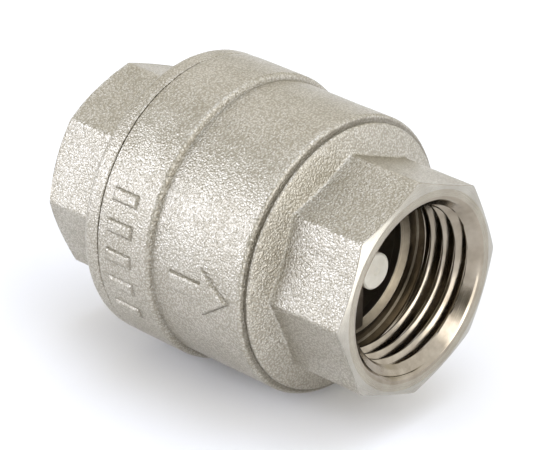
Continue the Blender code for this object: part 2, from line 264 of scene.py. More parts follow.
def octagon_radius(angles, edge=WRENCH_EDGE):
    """Distance from the axis to the wrench octagon, whose long edges are rounded."""
    half_side = pi / 8
    from_corner = np.abs((angles + half_side) % (2 * half_side) - half_side)
    flat = WRENCH_FLATS / 2 / np.cos(half_side - from_corner)
    centre = (WRENCH_FLATS / 2 - edge) / cos(half_side)
    tangent = np.arctan2(edge * sin(half_side), centre + edge * cos(half_side))
    inside = np.maximum(edge ** 2 - (centre * np.sin(from_corner)) ** 2, 0.0)
    arc = centre * np.cos(from_corner) + np.sqrt(inside)
    return np.where(from_corner < tangent, arc, flat)


def thread_form(station, angles, pitch, ahead=0.0):
    """Right-hand thread form from -1 at its roots to 1 at its crests, rounded at both."""
    phase = (station / pitch - angles / tau + ahead) % 1.0
    from_crest = 2.0 * np.abs(phase - 0.5)
    from_turn = np.minimum(from_crest, 1.0 - from_crest)
    straight = 1.0 - 2.0 * from_turn
    eased = 1.0 - THREAD_ROUNDING - from_turn ** 2 / THREAD_ROUNDING
    shape = np.where(from_turn < THREAD_ROUNDING, eased, straight) / (1.0 - THREAD_ROUNDING)
    return np.where(from_crest < 0.5, shape, -shape)


def as_pair(point, angles):
    """A profile point as a (2, angles) array. Its station and radius may be numbers or arrays."""
    ones = np.ones_like(angles)
    return np.stack([point[0] * ones, point[1] * ones])


def fillet(before, corner, after, size, pieces):
    """Points of the arc that rounds a profile corner, for every angle at once."""
    back = before - corner
    ahead = after - corner
    back_length = np.linalg.norm(back, axis=0) + 1e-12
    ahead_length = np.linalg.norm(ahead, axis=0) + 1e-12
    back = back / back_length
    ahead = ahead / ahead_length
    half = np.arccos(np.clip((back * ahead).sum(axis=0), -1.0, 1.0)) / 2
    reach = size / np.maximum(np.tan(half), 1e-6)
    reach = np.minimum(reach, 0.49 * np.minimum(back_length, ahead_length))
    start = corner + back * reach
    end = corner + ahead * reach
    weight = np.sin(half)
    arc = []
    for t in np.linspace(0.0, 1.0, pieces + 1):
        a, b, c = (1 - t) ** 2, 2 * t * (1 - t) * weight, t ** 2
        arc.append((a * start + b * corner + c * end) / (a + b + c))
    return arc


def profile(points, angles):
    """Sections along a profile. A point is (station, radius) or (station, radius, fillet size)."""
    pairs = [as_pair(point, angles) for point in points]
    sections = []
    for i, point in enumerate(points):
        inner = 0 < i < len(points) - 1
        if inner and len(point) > 2:
            pieces = 3 if point[2] < 0.3 else 6
            sections += fillet(pairs[i - 1], pairs[i], pairs[i + 1], point[2], pieces)
        else:
            sections.append(pairs[i])
    return sections


def refine(sections, spacing):
    """Adds sections, so that neighbours are no further apart than spacing."""
    fine = [sections[0]]
    for first, second in zip(sections, sections[1:]):
        gap = np.linalg.norm(second - first, axis=0).max()
        count = max(1, int(np.ceil(gap / spacing)))
        fine += [first + (second - first) * k / count for k in range(1, count + 1)]
    return fine


def unevenness(points):
    """Slow waviness of a forged surface at points in millimetres, in millimetres."""
    return np.array([
        0.030 * noise.noise(Vector(p) * 0.16) + 0.014 * noise.noise(Vector(p) * 0.55) - 0.015
        for p in points
    ])


def to_points(sections, angles):
    """Points in millimetres, one row of angles after another."""
    stations = np.array([s[0] for s in sections]).ravel()
    radii = np.array([s[1] for s in sections]).ravel()
    turns = np.tile(angles, len(sections))
    return np.stack([OUTLET_X - stations, radii * np.sin(turns), radii * np.cos(turns)], axis=1)


def ring_faces(rings, around, closed):
    """Quads between neighbouring rings, and from the last ring to the first if closed."""
    last = rings if closed else rings - 1
    i, j = np.meshgrid(np.arange(last), np.arange(around), indexing="ij")
    ni = (i + 1) % rings
    nj = (j + 1) % around
    quads = np.stack([i * around + j, i * around + nj, ni * around + nj, ni * around + j], axis=-1)
    return quads.reshape(-1, 4)


def make_piece(name, points, faces, materials, face_kinds=None, sharp=38.0, painted_shade=None):
    """A mesh object in metres with outward faces, smooth shading and its materials."""
    mesh = bpy.data.meshes.new(name)
    mesh.from_pydata((np.asarray(points) * MM).tolist(), [], [list(map(int, f)) for f in faces])
    for surface in materials:
        mesh.materials.append(surface)
    if face_kinds is not None:
        mesh.polygons.foreach_set("material_index", np.asarray(face_kinds, dtype=np.int32))
    mesh_data = bmesh.new()
    mesh_data.from_mesh(mesh)
    bmesh.ops.recalc_face_normals(mesh_data, faces=mesh_data.faces)
    mesh_data.to_mesh(mesh)
    mesh_data.free()
    # Painted shade: per-vertex darkening that the cast material reads, for corners and for the feet of
    # marks.
    if painted_shade is not None:
        shade = mesh.attributes.new("painted_crease_shade", "FLOAT", "POINT")
        shade.data.foreach_set("value", np.asarray(painted_shade, dtype=np.float32).ravel())
    mesh.shade_smooth()
    mesh.set_sharp_from_angle(angle=radians(sharp))
    made = bpy.data.objects.new(name, mesh)
    bpy.context.scene.collection.objects.link(made)
    crisp = made.modifiers.new("crisp", "WEIGHTED_NORMAL")
    crisp.keep_sharp = True
    return made


def turned_wall(name, parts, angles, materials, painted_shade=()):
    """A closed wall of revolution. Each part is (material number, is it forged, sections).

    A crease is (station, half width, strength) of a line of painted shade: the forged wall is darkened
    there as if shaded in a corner.
    """
    sections, kinds, forged = [], [], []
    for kind, cast, part in parts:
        sections += part
        kinds += [kind] * len(part)
        forged += [cast] * len(part)
    points = to_points(sections, angles)
    rough = np.repeat(np.array(forged, dtype=float), len(angles))
    picked = rough > 0
    shift = np.zeros(len(points))
    shift[picked] = unevenness(points[picked])
    # Painted shade along each given crease line, on the forged parts only.
    painted_shade_amount = np.zeros(len(points))
    for station, width, strength in painted_shade:
        away = (OUTLET_X - points[:, 0] - station) / width
        painted_shade_amount = np.maximum(painted_shade_amount, rough * strength * np.exp(-away ** 2))
    outward = points * (0.0, 1.0, 1.0)
    outward /= np.linalg.norm(outward, axis=1, keepdims=True) + 1e-9
    points = points + outward * shift[:, None]
    faces = ring_faces(len(sections), len(angles), True)
    kinds = np.repeat(kinds, len(angles))
    return make_piece(name, points, faces, materials, kinds, painted_shade=painted_shade_amount)


def turned_core(name, points, angles, materials, spacing=None, sharp=38.0):
    """A solid of revolution whose profile starts and ends on the axis."""
    sections = profile(points, angles)
    if spacing:
        sections = refine(sections, spacing)
    around = len(angles)
    ring_points = to_points(sections[1:-1], angles)
    first = (OUTLET_X - sections[0][0][0], 0.0, 0.0)
    last = (OUTLET_X - sections[-1][0][0], 0.0, 0.0)
    all_points = np.vstack([ring_points, first, last])
    rings = len(sections) - 2
    faces = [list(f) for f in ring_faces(rings, around, False)]
    start, end = len(all_points) - 2, len(all_points) - 1
    faces += [[start, j, (j + 1) % around] for j in range(around)]
    base = (rings - 1) * around
    faces += [[end, base + (j + 1) % around, base + j] for j in range(around)]
    return make_piece(name, all_points, faces, materials, None, sharp)


# ---------------------------------------------------------------- materials


def shader_tree(name):
    """A new material with its node tree and Principled shader."""
    made = bpy.data.materials.new(name)
    made.use_nodes = True
    tree = made.node_tree
    return made, tree, tree.nodes["Principled BSDF"]


def add(tree, kind, settings=None, **inputs):
    """A node with its settings and inputs. An input may be a value or an output to link."""
    made = tree.nodes.new(kind)
    for key, value in (settings or {}).items():
        setattr(made, key, value)
    for key, value in inputs.items():
        numbered = key[0] == "i" and key[1:].isdigit()
        socket = made.inputs[int(key[1:]) if numbered else key]
        if isinstance(value, bpy.types.NodeSocket):
            tree.links.new(value, socket)
        else:
            socket.default_value = value
    return made


def noise_value(tree, vector, scale, detail=2.0, roughness=0.5, distortion=0.0):
    """Factor of a noise texture."""
    made = add(tree, "ShaderNodeTexNoise", None, Vector=vector, Scale=scale, Detail=detail,
               Roughness=roughness, Distortion=distortion)
    return made.outputs["Fac"]


def spread(tree, value, low, high, to_low, to_high):
    """Maps a value from one range to another and clamps it."""
    made = add(tree, "ShaderNodeMapRange", None,
               Value=value, i1=low, i2=high, i3=to_low, i4=to_high)
    return made.outputs["Result"]


def color_between(tree, factor, first, second):
    """Mix of two colours."""
    made = add(tree, "ShaderNodeMix", {"data_type": "RGBA"},
               i0=factor, i6=(*first, 1.0), i7=(*second, 1.0))
    return made.outputs[2]


def bumped(tree, height, strength, distance, normal=None):
    """Normal from a height value."""
    made = add(tree, "ShaderNodeBump", None, Height=height, Strength=strength, Distance=distance)
    if normal is not None:
        tree.links.new(normal, made.inputs["Normal"])
    return made.outputs["Normal"]


def connect(tree, output, shader, name):
    """Links an output to a shader socket."""
    tree.links.new(output, shader.inputs[name])


def blasted_nickel():
    """Satin nickel over shot-blasted brass: fine pebbled grain with small sparkles."""
    made, tree, shader = shader_tree("blasted_nickel")
    place = tree.nodes.new("ShaderNodeTexCoord").outputs["Object"]
    grain = noise_value(tree, place, 6200, 1.5, 0.5)
    pits = add(tree, "ShaderNodeTexVoronoi", {"feature": "SMOOTH_F1"}, Vector=place, Scale=3900,
               Smoothness=0.35).outputs["Distance"]
    patches = noise_value(tree, place, 210, 3.0, 0.6)
    tone = color_between(tree, spread(tree, patches, 0.3, 0.7, 0.0, 1.0),
                         (0.54, 0.508, 0.438), (0.63, 0.60, 0.535))
    soiled = add(tree, "ShaderNodeMix", {"data_type": "RGBA", "blend_type": "MULTIPLY"},
                 i0=spread(tree, pits, 0.24, 0.60, 0.0, 0.68), i6=tone, i7=(0.50, 0.47, 0.41, 1.0))
    # Painted shade: the base colour is darkened towards near black where the crease shade attribute is
    # set.
    painted_shade_factor = add(tree, "ShaderNodeAttribute", {"attribute_name": "painted_crease_shade"}).outputs["Fac"]
    shaded = add(tree, "ShaderNodeMix", {"data_type": "RGBA"}, i0=painted_shade_factor, i6=soiled.outputs[2],
                 i7=(0.13, 0.115, 0.085, 1.0))
    connect(tree, shaded.outputs[2], shader, "Base Color")
    connect(tree, spread(tree, grain, 0.3, 0.7, 0.42, 0.27), shader, "Roughness")
    coarse = bumped(tree, noise_value(tree, place, 1500, 2.0, 0.5), 0.35, 0.00008)
    dimples = bumped(tree, pits, 0.6, 0.00012, coarse)
    connect(tree, bumped(tree, grain, 0.55, 0.00015, dimples), shader, "Normal")
    shader.inputs["Metallic"].default_value = 1.0
    return made


def turned_nickel(name, dark, light, smooth, rough, grain=0.0):
    """Machined and plated faces, bores and threads: bright, with fine rings from the tool."""
    made, tree, shader = shader_tree(name)
    place = tree.nodes.new("ShaderNodeTexCoord").outputs["Object"]
    parts = add(tree, "ShaderNodeSeparateXYZ", None, Vector=place)
    flat = add(tree, "ShaderNodeCombineXYZ", None, X=0.0, Y=parts.outputs["Y"], Z=parts.outputs["Z"])
    reach = add(tree, "ShaderNodeVectorMath", {"operation": "LENGTH"}, i0=flat.outputs["Vector"])
    rings = add(tree, "ShaderNodeCombineXYZ", None,
                X=parts.outputs["X"], Y=reach.outputs["Value"], Z=0.0)
    ring_noise = noise_value(tree, rings.outputs["Vector"], 9000, 2.0, 0.6)
    patches = noise_value(tree, place, 330, 3.0, 0.6)
    tone = color_between(tree, spread(tree, patches, 0.3, 0.7, 0.0, 1.0), dark, light)
    connect(tree, tone, shader, "Base Color")
    connect(tree, spread(tree, ring_noise, 0.3, 0.7, smooth, rough), shader, "Roughness")
    slight = bumped(tree, patches, 0.10, 0.00010)
    normal = bumped(tree, ring_noise, 0.25, 0.00002, slight)
    if grain:
        normal = bumped(tree, noise_value(tree, place, 4200, 2.0, 0.6), grain, 0.00008, normal)
    connect(tree, normal, shader, "Normal")
    shader.inputs["Metallic"].default_value = 1.0
    return made


def white_acetal():
    """Off-white moulded plastic with a faint satin grain."""
    made, tree, shader = shader_tree("white_acetal_moulded")
    place = tree.nodes.new("ShaderNodeTexCoord").outputs["Object"]
    cloud = noise_value(tree, place, 380, 3.0, 0.6)
    tone = color_between(tree, spread(tree, cloud, 0.3, 0.7, 0.0, 1.0),
                         (0.46, 0.43, 0.36), (0.56, 0.53, 0.46))
    connect(tree, tone, shader, "Base Color")
    fine = noise_value(tree, place, 5200, 2.0, 0.5)
    connect(tree, spread(tree, fine, 0.3, 0.7, 0.30, 0.46), shader, "Roughness")
    connect(tree, bumped(tree, fine, 0.15, 0.00003), shader, "Normal")
    shader.inputs["Subsurface Weight"].default_value = 0.25
    shader.inputs["Subsurface Radius"].default_value = (1.0, 0.8, 0.6)
    shader.inputs["Subsurface Scale"].default_value = 0.0006
    return made


def black_rubber():
    """Matt moulded nitrile."""
    made, tree, shader = shader_tree("black_nitrile_moulded")
    place = tree.nodes.new("ShaderNodeTexCoord").outputs["Object"]
    fine = noise_value(tree, place, 3000, 3.0, 0.6)
    dust = noise_value(tree, place, 500, 4.0, 0.65)
    tone = color_between(tree, spread(tree, dust, 0.35, 0.75, 0.0, 1.0),
                         (0.012, 0.012, 0.012), (0.035, 0.034, 0.032))
    connect(tree, tone, shader, "Base Color")
    connect(tree, spread(tree, fine, 0.3, 0.7, 0.50, 0.72), shader, "Roughness")
    connect(tree, bumped(tree, fine, 0.3, 0.00004), shader, "Normal")
    return made


def stainless():
    """Bright stainless steel with fine drawing marks."""
    made, tree, shader = shader_tree("stainless_bright")
    place = tree.nodes.new("ShaderNodeTexCoord").outputs["Object"]
    fine = noise_value(tree, place, 6500, 3.0, 0.6)
    cloud = noise_value(tree, place, 500, 3.0, 0.6)
    tone = color_between(tree, spread(tree, cloud, 0.3, 0.7, 0.0, 1.0),
                         (0.52, 0.52, 0.52), (0.64, 0.635, 0.63))
    connect(tree, tone, shader, "Base Color")
    connect(tree, spread(tree, fine, 0.3, 0.7, 0.18, 0.34), shader, "Roughness")
    connect(tree, bumped(tree, fine, 0.2, 0.00002), shader, "Normal")
    shader.inputs["Metallic"].default_value = 1.0
    return made


# ---------------------------------------------------------------- the two halves


def wrench_outline(face_radius, slope, root, shoulder_slope, angles):
    """Profile points of a wrench end, from the end face to the root of the shoulder."""
    radius = octagon_radius(angles)
    root = root + (radius - CORNER_RADIUS) * shoulder_slope
    depth = np.maximum((radius - face_radius) * slope, 0.0)
    return [
        (0.0, face_radius, FACE_EDGE), (depth, radius, CHAMFER_EDGE), (root, radius, ROOT_FILLET),
    ]


def socket_bore(angles):
    """Sections of a pipe socket: mouth chamfer, thread and relief groove, from the mouth inwards."""
    sections = profile([(0.0, MOUTH_RADIUS + MOUTH_BEVEL), (0.10, MOUTH_RADIUS - 0.04, 0.04),
                        (0.25, MOUTH_RADIUS - 0.25)], angles)
    for station in np.arange(PIPE_LEAD, THREAD_END + 0.01, PIPE_SPACING):
        cut = PIPE_MIDDLE - PIPE_DEPTH / 2 * thread_form(station, angles, PIPE_PITCH, THREAD_START)
        radius = np.maximum(MOUTH_RADIUS - station, cut)
        fade = min(1.0, max(0.0, (station - (THREAD_END - PIPE_FADE)) / PIPE_FADE))
        radius = np.maximum(radius, radius + (GROOVE_RADIUS - radius) * fade)
        sections.append(np.stack([np.full_like(angles, station), radius]))
    sections += profile([(THREAD_END + 0.1, GROOVE_RADIUS), (GROOVE_END - 0.1, GROOVE_RADIUS)], angles)
    return sections


def joint_thread(angles, clearance):
    """Sections of the joint thread, from its inner end towards the seam."""
    middle = (JOINT_MINOR + JOINT_MAJOR) / 2 + clearance
    sections = []
    for station in np.arange(JOINT_START + JOINT_LEAD, JOINT_END, JOINT_SPACING):
        radius = middle + JOINT_DEPTH / 2 * thread_form(station, angles, JOINT_PITCH)
        sections.append(np.stack([np.full_like(angles, station), radius]))
    return sections


def mirrored(sections):
    """Sections of the outlet end, moved to the inlet end."""
    return [np.stack([LENGTH - s[0], s[1]]) for s in sections]


def outlet_shell(metals):
    """Outlet body: wrench end, shoulder, casing, band, joint, chamber, port and socket."""
    angles = corner_angles()
    wrench = wrench_outline(OUTLET_FACE_RADIUS, OUTLET_CHAMFER_SLOPE, SHOULDER, SHOULDER_SLOPE, angles)
    outline = wrench + [
        (SHOULDER + (COLLAR_RADIUS - CORNER_RADIUS) * SHOULDER_SLOPE, COLLAR_RADIUS, COLLAR_FILLET),
        (COLLAR_END, COLLAR_RADIUS - 0.15, 0.03),
        (COLLAR_END + 0.10, CASING_RADIUS, 0.5),
        (STEP_START + 0.35, CASING_RADIUS, 0.10),
        (STEP_START + 0.60, BAND_RADIUS, 0.7),
        (BODY_END, BAND_RADIUS, 0.16),
        (BODY_END, BAND_RADIUS - 0.5),
    ]
    outside = profile([(0.0, MOUTH_RADIUS + MOUTH_BEVEL)] + outline, angles)
    face = outside[:CHAMFER_SECTION]
    chamfer = outside[CHAMFER_SECTION:FACE_SECTIONS]
    forged = refine(outside[FACE_SECTIONS:], 0.7)
    joint_face = profile([
        (BODY_END, SEAL_POCKET_RADIUS + 0.3),
        (BODY_END, SEAL_POCKET_RADIUS, 0.25),
        (SEAL_POCKET_START, SEAL_POCKET_RADIUS, 0.1),
        (SEAL_POCKET_START, JOINT_MAJOR + 0.1),
    ], angles)
    thread = list(reversed(joint_thread(angles, JOINT_CLEARANCE)))
    inside = profile([
        (JOINT_START - JOINT_CLEARANCE, JOINT_MAJOR + JOINT_CLEARANCE),
        (JOINT_START - JOINT_CLEARANCE, CHAMBER_RADIUS, 0.2),
        (CHAMBER_START, CHAMBER_RADIUS, 1.2),
        (PORT_END, PORT_RADIUS, 0.3),
        (PORT_START, PORT_RADIUS, 0.12),
        (LIP_FACE, LIP_RADIUS, 0.14),
        (LIP_FACE, LIP_RIM),
    ], angles)
    socket = list(reversed(socket_bore(angles)))
    parts = [
        (1, False, face), (5, False, chamfer), (0, True, forged),
        (1, False, joint_face), (1, False, thread),
        (3, False, inside[:-6]), (4, False, inside[-6:-5]), (2, False, inside[-5:-2]),
        (4, False, inside[-2:]), (2, False, socket),
    ]
    # Painted shade: dark lines at the foot of the collar and of the band step.
    painted_shade = [(COLLAR_END + 0.02, 0.07, 0.7), (STEP_START + 0.36, 0.09, 0.4)]
    shell = turned_wall("outlet_body_shell", parts, angles, metals, painted_shade)
    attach(shell, "housing")
    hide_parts("outlet_body")


def inlet_shell(metals):
    """Inlet connector: flange, wrench end, socket, male thread, spigot and seat."""
    angles = corner_angles()
    root = LENGTH - FLANGE_BACK
    wrench = wrench_outline(INLET_FACE_RADIUS, INLET_CHAMFER_SLOPE, root, 0.0, angles)
    outline = wrench + [
        (root, FLANGE_RADIUS, FLANGE_FILLET),
        (LENGTH - FLANGE_FACE, FLANGE_RADIUS, 0.16),
        (LENGTH - FLANGE_FACE, FLANGE_RADIUS - 0.5),
    ]
    outside = profile([(0.0, MOUTH_RADIUS + MOUTH_BEVEL)] + outline, angles)
    face = mirrored(outside[:CHAMFER_SECTION])
    chamfer = mirrored(outside[CHAMFER_SECTION:FACE_SECTIONS])
    forged = mirrored(refine(outside[FACE_SECTIONS:], 0.7))
    neck = profile([
        (FLANGE_FACE, NECK_RADIUS + 0.4),
        (FLANGE_FACE, NECK_RADIUS, 0.2),
        (JOINT_END + 0.3, NECK_RADIUS),
    ], angles)
    thread = list(reversed(joint_thread(angles, 0.0)))
    spigot = profile([
        (JOINT_START + 0.3, JOINT_MINOR),
        (JOINT_START, JOINT_MINOR - 0.3, 0.1),
        (JOINT_START, SPIGOT_BORE, 0.1),
        (SPIGOT_FLOOR, SPIGOT_BORE, 0.6),
        (SPIGOT_FLOOR, SEAT_OUTER + 0.6, 0.4),
        (SEAT_FACE, SEAT_OUTER, 0.18),
        (SEAT_FACE, SEAT_INNER, 0.18),
        (LENGTH - PORT_START, SEAT_INNER, 0.12),
        (LENGTH - LIP_FACE, LIP_RADIUS, 0.08),
        (LENGTH - LIP_FACE, LIP_RIM),
    ], angles)
    socket = mirrored(list(reversed(socket_bore(angles))))
    parts = [
        (1, False, face), (5, False, chamfer), (0, True, forged), (1, False, neck), (1, False, thread),
        (2, False, spigot[:-2]), (4, False, spigot[-2:]), (2, False, socket),
    ]
    shell = turned_wall("inlet_connector_shell", parts, angles, metals)
    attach(shell, "housing")
    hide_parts("inlet_connector")


def bridge_blank(angles):
    """Hub of the guide bridge as a closed tube."""
    sections = profile([
        (LIP_FACE, HUB_BORE),
        (LIP_FACE, HUB_FRONT_RADIUS, 0.4),
        (HUB_END, HUB_BACK_RADIUS, 0.3),
        (HUB_END, HUB_BORE),
    ], angles)
    return to_points(sections, angles), ring_faces(len(sections), len(angles), True)


def guide_bridge(metal):
    """Hub and spokes cast with the outlet body, melted together so that every joint is rounded."""
    angles = even_angles(64)
    points, faces = bridge_blank(angles)
    points, faces = points.tolist(), [list(map(int, f)) for f in faces]
    for number in range(SPOKES):
        turn = radians(180.0 + 360.0 * number / SPOKES)
        out = np.array([0.0, sin(turn), cos(turn)])
        across = np.array([0.0, cos(turn), -sin(turn)])
        base = len(points)
        for station in (SPOKE_START, SPOKE_END):
            for side in (-0.5, 0.5):
                for radius in (HUB_BORE + 0.5, SPOKE_REACH):
                    corner = out * radius + across * side * SPOKE_WIDTH
                    points.append((OUTLET_X - station, corner[1], corner[2]))
        cube = [(0, 1, 3, 2), (4, 6, 7, 5), (0, 4, 5, 1), (2, 3, 7, 6), (0, 2, 6, 4), (1, 5, 7, 3)]
        faces += [[base + i for i in face] for face in cube]
    bridge = make_piece("outlet_guide_bridge", points, faces, [metal], None, 180.0)
    melt = bridge.modifiers.new("melt", "REMESH")
    melt.mode = "VOXEL"
    melt.voxel_size = 0.14 * MM
    melt.use_smooth_shade = True
    soften = bridge.modifiers.new("soften", "SMOOTH")
    soften.factor = 0.6
    soften.iterations = 5
    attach(bridge, "housing")


# ---------------------------------------------------------------- raised marks


def distance_to_outline(x, y, corners):
    """Signed distance from points to a closed outline, negative inside."""
    best = np.full_like(x, 1e9)
    inside = np.zeros_like(x, dtype=bool)
    for (x0, y0), (x1, y1) in zip(corners, corners[1:] + corners[:1]):
        dx, dy = x1 - x0, y1 - y0
        t = np.clip(((x - x0) * dx + (y - y0) * dy) / (dx * dx + dy * dy), 0.0, 1.0)
        best = np.minimum(best, np.hypot(x - x0 - t * dx, y - y0 - t * dy))
        if y0 != y1:
            crosses = ((y0 > y) != (y1 > y)) & (x < (x1 - x0) * (y - y0) / (y1 - y0) + x0)
            inside ^= crosses
    return np.where(inside, -best, best)


def raised_patch(name, stations, middle, half_width, outlines, base_radius, height, cast):
    """A thin pad over the wall, with soft-edged marks standing on it as they do on a forging."""
    along = np.arange(stations[0], stations[1] + PAD_SPACING / 2, PAD_SPACING)
    across = np.arange(-half_width, half_width + PAD_SPACING / 2, PAD_SPACING)
    station, arc = np.meshgrid(along, across, indexing="ij")
    nearest = np.full(station.shape, 1e9)
    for outline in outlines:
        nearest = np.minimum(nearest, distance_to_outline(station, arc, outline))
    rise = np.clip(-nearest / MARK_CROWN, 0.0, 1.0)
    rise = np.sqrt(rise * (2.0 - rise))
    edge = np.minimum.reduce([
        station - along[0], along[-1] - station, arc + half_width, half_width - arc,
    ])
    fall = 1.0 - np.clip(edge / PAD_SKIRT, 0.0, 1.0)
    radius = base_radius + PAD_LIFT - (PAD_LIFT + PAD_SINK) * fall * fall * (3.0 - 2.0 * fall)
    turn = middle + arc / base_radius
    wall = np.stack([
        OUTLET_X - station, base_radius * np.sin(turn), base_radius * np.cos(turn),
    ], axis=-1)
    wave = unevenness(wall.reshape(-1, 3)).reshape(station.shape)
    radius = radius + wave + rise * (height - 0.02 - wave)
    layers = []
    for r in (radius, np.full_like(radius, base_radius - PAD_DEPTH)):
        layer = np.stack([OUTLET_X - station, r * np.sin(turn), r * np.cos(turn)], axis=-1)
        layers.append(layer.reshape(-1, 3))
    points = np.vstack(layers)
    rows, columns = station.shape
    i, j = np.meshgrid(np.arange(rows - 1), np.arange(columns - 1), indexing="ij")
    a = (i * columns + j).ravel()
    top = np.stack([a, a + 1, a + columns + 1, a + columns], axis=1)
    bottom = top[:, ::-1] + rows * columns
    border = list(range(columns))
    border += [i * columns + columns - 1 for i in range(1, rows)]
    border += [(rows - 1) * columns + j for j in range(columns - 2, -1, -1)]
    border += [i * columns for i in range(rows - 2, 0, -1)]
    under = rows * columns
    sides = [(p, q, q + under, p + under) for p, q in zip(border, border[1:] + border[:1])]
    faces = [list(f) for f in top] + [list(f) for f in bottom] + [list(f) for f in sides]
    # Painted shade: a dark line painted round the foot of each mark.
    painted_shade_amount = np.zeros((2,) + station.shape)
    painted_shade_amount[0] = MARK_FOOT_SHADE * np.exp(-((nearest - 0.04) / 0.12) ** 2)
    patch = make_piece(name, points, faces, [cast], painted_shade=painted_shade_amount)
    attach(patch, "housing")


def raised_marks(cast):
    """A flow arrow on the casing and plain bars on the band, on both sides of the valve."""
    arrow = [
        (ARROW_TAIL, -ARROW_SHAFT), (ARROW_NECK, -ARROW_SHAFT), (ARROW_NECK, -ARROW_HEAD),
        (ARROW_TIP, 0.0),
        (ARROW_NECK, ARROW_HEAD), (ARROW_NECK, ARROW_SHAFT), (ARROW_TAIL, ARROW_SHAFT),
    ]
    bars = []
    for number in range(BARS):
        middle = radians((number - (BARS - 1) / 2) * BAR_PITCH) * BAND_RADIUS
        half = BAR_WIDTH / 2
        bars.append([(BAR_START, middle - half), (BAR_END, middle - half),
                     (BAR_END, middle + half), (BAR_START, middle + half)])
    reach = radians((BARS - 1) / 2 * BAR_PITCH) * BAND_RADIUS + 2.2
    for side, turn in (("left", 270.0), ("right", 90.0)):
        raised_patch(f"flow_arrow_{side}", (12.6, 23.6), radians(turn), 4.4, [arrow],
                     CASING_RADIUS, ARROW_HEIGHT, cast)
        raised_patch(f"band_marks_{side}", (27.2, 33.1), radians(turn), reach, bars,
                     BAND_RADIUS, MARK_HEIGHT, cast)


# ---------------------------------------------------------------- working parts


def poppet_moulding(plastic):
    """Disc and stem of the poppet, with a shallow gate dimple in the tip."""
    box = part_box("poppet")
    tip = OUTLET_X - box[1][0] / MM
    disc = max(box[1][1], box[1][2]) / MM
    sections = [
        (tip + 0.10, 0.0), (tip + 0.08, 0.35, 0.1), (tip, 0.5, 0.1), (tip, 2.0, 0.08),
        (tip + 0.16, STEM_RADIUS, 0.08), (BOSS_START, STEM_RADIUS, 0.3),
        (BOSS_START, BOSS_RADIUS, 0.3), (DISC_FRONT, BOSS_RADIUS, 0.5),
        (DISC_FRONT, disc, 0.35), (DISC_RIM_END, disc, 0.12),
        (DISC_RIM_END, CUP_RADIUS, 0.12), (CUP_FLOOR, CUP_RADIUS, 0.15),
        (CUP_FLOOR, PIN_RADIUS, 0.2), (PIN_END, PIN_RADIUS, 0.12),
        (PIN_END, SCREW_BORE, 0.12), (BORE_END, SCREW_BORE, 0.2), (BORE_END, 0.0),
    ]
    poppet = turned_core("poppet_moulding", sections, even_angles(96), [plastic], 0.8)
    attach(poppet, "poppet")
    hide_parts("poppet")


def seal_moulding(rubber):
    """Flat sealing ring of the poppet, with rounded edges and a faint moulding line."""
    angles = even_angles(128)
    middle = 29.4
    line = 0.05
    sections = profile([
        (middle, SEAL_HOLE), (SEAL_FRONT, SEAL_HOLE, 0.15), (SEAL_FRONT, SEAL_RADIUS, 0.25),
        (middle - line, SEAL_RADIUS, 0.05), (middle, SEAL_RADIUS + 0.06, 0.03),
        (middle + line, SEAL_RADIUS, 0.05), (SEAL_BACK, SEAL_RADIUS, 0.25),
        (SEAL_BACK, SEAL_HOLE, 0.15),
    ], angles)
    ring = turned_wall("poppet_seal_ring", [(0, False, refine(sections, 0.9))], angles, [rubber])
    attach(ring, "poppet")
    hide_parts("poppet_seal")


def retainer_washer(steel):
    """Stamped washer with one rounded edge."""
    angles = even_angles(128)
    sections = profile([
        ((WASHER_FRONT + WASHER_BACK) / 2, SCREW_BORE), (WASHER_FRONT, SCREW_BORE, 0.08),
        (WASHER_FRONT, WASHER_RADIUS, 0.08), (WASHER_BACK, WASHER_RADIUS, 0.28),
        (WASHER_BACK, SCREW_BORE, 0.12),
    ], angles)
    washer = turned_wall("seal_retainer_washer", [(0, False, refine(sections, 0.8))], angles, [steel])
    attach(washer, "poppet")
    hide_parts("seal_retainer")


